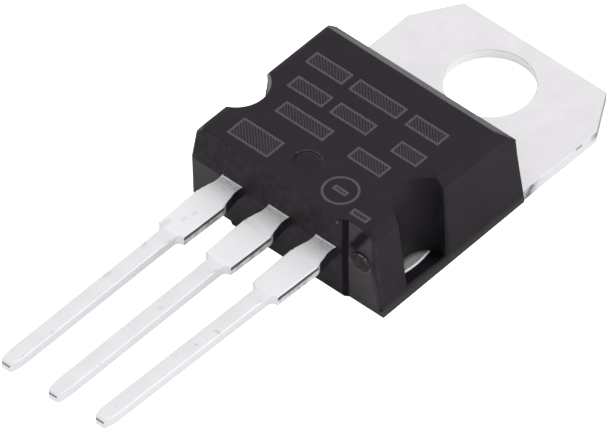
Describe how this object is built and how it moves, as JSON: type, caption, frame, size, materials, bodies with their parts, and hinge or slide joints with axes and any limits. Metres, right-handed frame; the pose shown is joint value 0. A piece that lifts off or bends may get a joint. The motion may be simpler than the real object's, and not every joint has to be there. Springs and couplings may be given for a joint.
{
  "type": "voltage regulator",
  "caption": "Three-lead voltage regulator in a moulded package with a screw-down heatsink tab and straight through-hole leads.",
  "frame": {"origin": "centre of the mounting hole, on the back face of the heatsink tab", "axes": "+X to the right seen from the marked front with the leads down, +Y towards the free edge of the tab (the leads point to -Y), +Z out of the marked front; the part lies on its back at z = 0"},
  "size_m": [0.0104, 0.0292, 0.0045],
  "materials": {
    "epoxy": "black mould resin with a fine satin surface, glossier in the notches",
    "tinned_copper": "matte tin plating over copper, greyer where the metal was sheared",
    "silicon": "polished silicon chip with a fine metal pattern",
    "solder": "dull soft solder",
    "bond_wire": "bright drawn aluminium wire"
  },
  "bodies": {
    "root": {"moulded_body": "epoxy", "heatsink_tab": "tinned_copper", "input_lead": "tinned_copper", "output_lead": "tinned_copper", "silicon_die": "silicon", "die_attach_solder": "solder", "input_bond_wire": "bond_wire", "output_bond_wire": "bond_wire", "ground_bond_wire": "bond_wire"}
  },
  "joints": []
}
